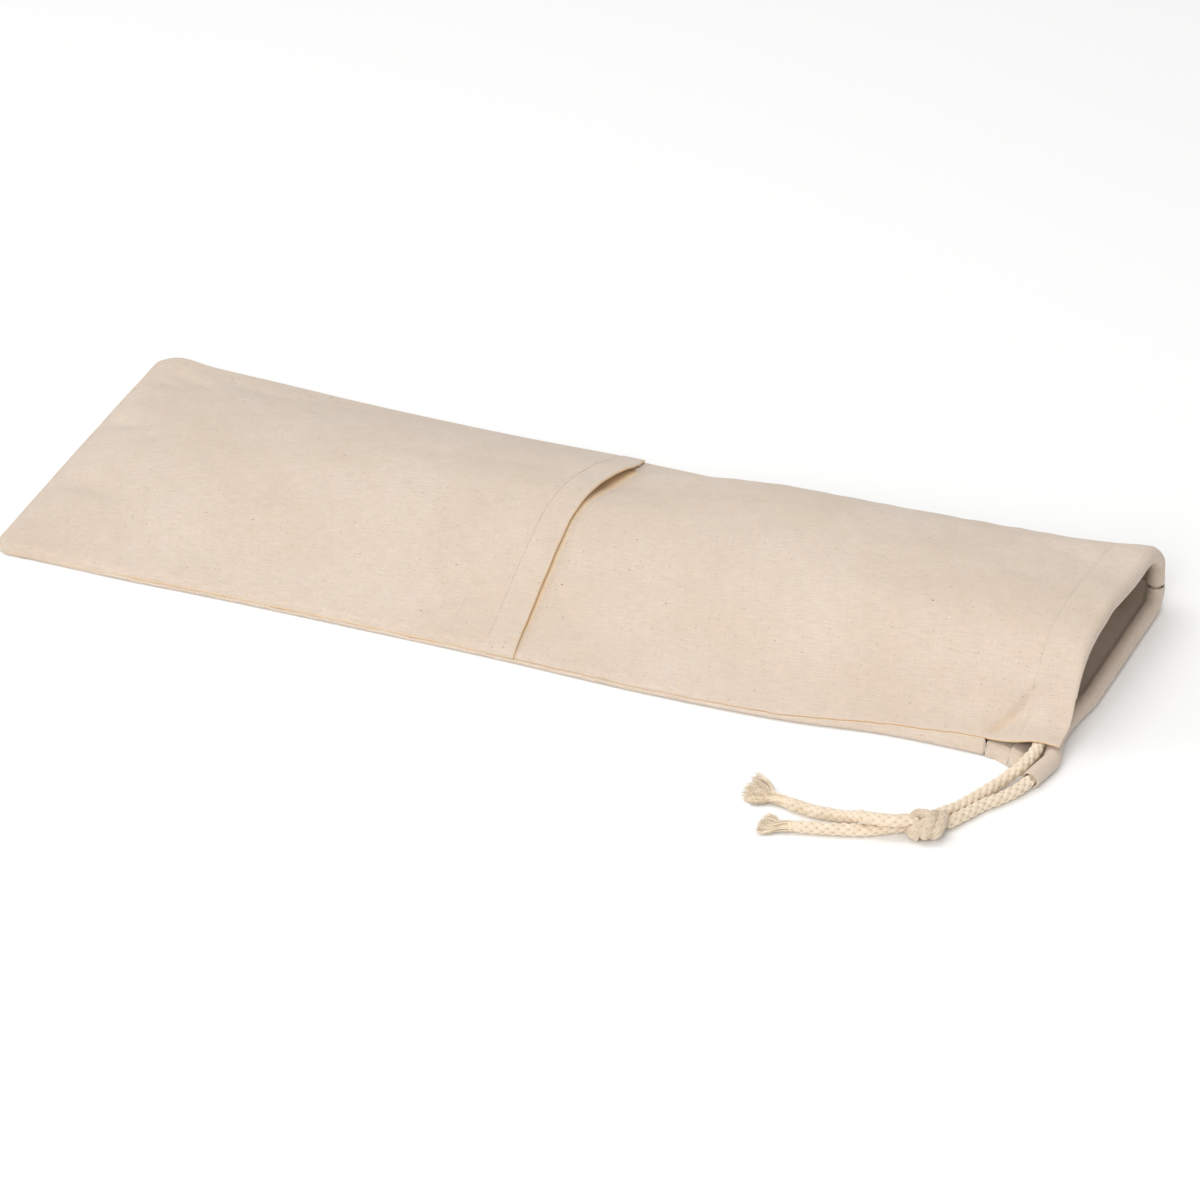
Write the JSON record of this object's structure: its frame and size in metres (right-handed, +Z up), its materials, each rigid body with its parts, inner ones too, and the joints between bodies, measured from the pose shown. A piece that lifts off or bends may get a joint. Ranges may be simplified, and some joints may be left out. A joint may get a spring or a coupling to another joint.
{
  "type": "bread bag",
  "caption": "Long cotton bag with a drawcord at its open mouth and an outer pocket over its closed half, lying on its back in the shape that long loaves give it.",
  "frame": {"origin": "bottom centre of the cloth, on the surface that the bag lies on", "axes": "+X along the bag from its closed end to its mouth, +Z up from the surface, +Y to the side away from the drawcord"},
  "size_m": [0.7196, 0.3954, 0.0629],
  "materials": {
    "cotton": "natural woven cotton",
    "cord": "natural braided cotton"
  },
  "bodies": {
    "root": {"back_panel": "cotton", "front_panel": "cotton", "pocket_panel": "cotton", "cord_in_hem": "cord", "cord_front": "cord", "cord_back": "cord", "cord_knot": "cord", "cord_tail_upper": "cord", "cord_tail_lower": "cord", "fray_upper": "cord", "fray_lower": "cord"}
  },
  "joints": []
}
